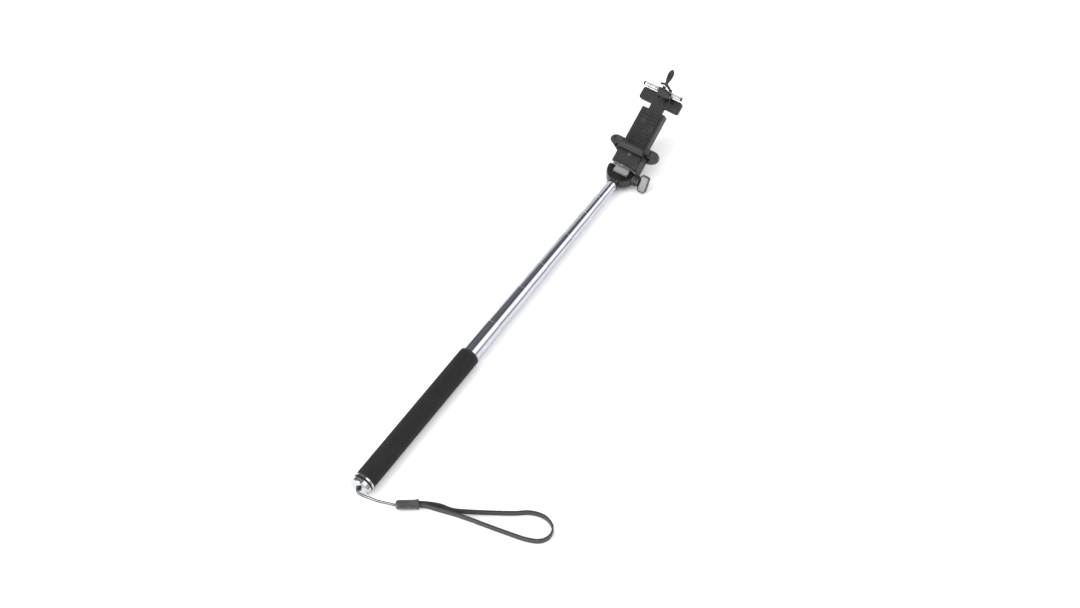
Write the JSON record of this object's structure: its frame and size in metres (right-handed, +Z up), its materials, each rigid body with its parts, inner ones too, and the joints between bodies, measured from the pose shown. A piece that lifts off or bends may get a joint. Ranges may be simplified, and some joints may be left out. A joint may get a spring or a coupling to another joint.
{
  "type": "selfie stick",
  "caption": "Telescopic selfie stick with a ribbed grip, wrist strap, chrome tubes, a tilting head with a wing knob and a sprung, sliding phone clamp.",
  "frame": {"origin": "on the surface that the stick lies on, below the middle of the object without its wrist strap", "axes": "+X along the stick from the grip towards the phone clamp, +Z up, the wing knob on the -Y side"},
  "size_m": [0.5026, 0.1774, 0.072],
  "materials": {
    "grip_rubber": "ribbed matte rubber",
    "cap_chrome": "polished chrome plating",
    "tube_chrome": "polished chrome-plated steel tube",
    "bush_brass": "drawn brass strip",
    "inner_plastic": "moulded nylon",
    "head_plastic": "glossy moulded plastic with a satin side",
    "tongue_plastic": "glossy moulded plastic",
    "knob_plastic": "moulded plastic",
    "clamp_plastic": "fine moulded texture",
    "jaw_plastic": "semi-gloss moulded plastic",
    "pad_rubber": "soft ribbed rubber",
    "pin_brass": "dull brass",
    "insert_brass": "turned brass",
    "screw_steel": "zinc-plated steel",
    "spring_steel": "bright spring wire",
    "washer_nylon": "natural nylon",
    "cord_nylon": "thin braided nylon cord",
    "sleeve_plastic": "glossy moulded plastic",
    "band_webbing": "woven nylon webbing"
  },
  "bodies": {
    "handle": {"grip": "grip_rubber", "end_cap": "cap_chrome", "end_plug": "inner_plastic", "strap_anchor": "inner_plastic", "tube_1": "tube_chrome", "strap_cord_1": "cord_nylon", "strap_cord_2": "cord_nylon", "strap_sleeve": "sleeve_plastic", "strap_band": "band_webbing"},
    "section_2": {"tube_2": "tube_chrome", "slide_bush_2": "bush_brass"},
    "section_3": {"tube_3": "tube_chrome", "slide_bush_3": "bush_brass"},
    "section_4": {"tube_4": "tube_chrome", "slide_bush_4": "bush_brass"},
    "section_5": {"tube_5": "tube_chrome", "slide_bush_5": "bush_brass"},
    "section_6": {"tube_6": "tube_chrome", "slide_bush_6": "bush_brass"},
    "section_7": {"tube_7": "tube_chrome", "slide_bush_7": "bush_brass", "head_disc": "head_plastic", "head_pin": "pin_brass", "pivot_bolt": "screw_steel", "friction_washers": "washer_nylon"},
    "knob": {"wing_knob": "knob_plastic", "knob_insert": "insert_brass"},
    "tongue": {"tongue": "tongue_plastic", "mount_stud": "screw_steel", "pad_washer": "pad_rubber"},
    "clamp": {"clamp_body": "clamp_plastic", "thread_insert": "insert_brass", "back_cover": "clamp_plastic", "cover_screws": "screw_steel", "stop_screw": "screw_steel", "detent_leaf": "screw_steel", "lower_jaw": "jaw_plastic", "lower_jaw_pad": "pad_rubber", "jaw_screw": "screw_steel", "back_pad": "pad_rubber"},
    "carriage": {"slider": "clamp_plastic", "jaw_axle": "spring_steel", "axle_caps": "inner_plastic", "jaw_spring": "spring_steel"},
    "lever": {"upper_jaw": "jaw_plastic", "upper_jaw_pad": "pad_rubber"}
  },
  "joints": [
    {"name": "extend_2", "type": "slide", "parent": "handle", "child": "section_2", "axis": [1, 0, 0], "range_m": [-0.042, 0.112]},
    {"name": "extend_3", "type": "slide", "parent": "section_2", "child": "section_3", "axis": [1, 0, 0], "range_m": [-0.028, 0.119]},
    {"name": "extend_4", "type": "slide", "parent": "section_3", "child": "section_4", "axis": [1, 0, 0], "range_m": [-0.0375, 0.102]},
    {"name": "extend_5", "type": "slide", "parent": "section_4", "child": "section_5", "axis": [1, 0, 0], "range_m": [-0.027, 0.106]},
    {"name": "extend_6", "type": "slide", "parent": "section_5", "child": "section_6", "axis": [1, 0, 0], "range_m": [-0.019, 0.107]},
    {"name": "extend_7", "type": "slide", "parent": "section_6", "child": "section_7", "axis": [1, 0, 0], "range_m": [-0.019, 0.095]},
    {"name": "tilt", "type": "hinge", "parent": "section_7", "child": "tongue", "pos_m": [0.15963, 0.00125, 0.00935], "axis": [0, -1, 0], "range_deg": [-120, 60]},
    {"name": "knob_turn", "type": "hinge", "parent": "section_7", "child": "knob", "pos_m": [0.15963, 0.00125, 0.00935], "axis": [0, -1, 0], "range_deg": [0, 360]},
    {"name": "clamp_swivel", "type": "hinge", "parent": "tongue", "child": "clamp", "pos_m": [0.15963, 0.00125, 0.00935], "axis": [0.866, 0, 0.5], "range_deg": [-180, 180]},
    {"name": "jaw_slide", "type": "slide", "parent": "clamp", "child": "carriage", "axis": [0.866, 0, 0.5], "range_m": [-0.005, 0.025]},
    {"name": "lever", "type": "hinge", "parent": "carriage", "child": "lever", "pos_m": [0.22969, 0.00125, 0.05961], "axis": [0, 1, 0], "range_deg": [0, 60], "stiffness_Nm_per_rad": 0.05, "springref_deg": -45.84, "deforming": ["jaw_spring"]}
  ]
}
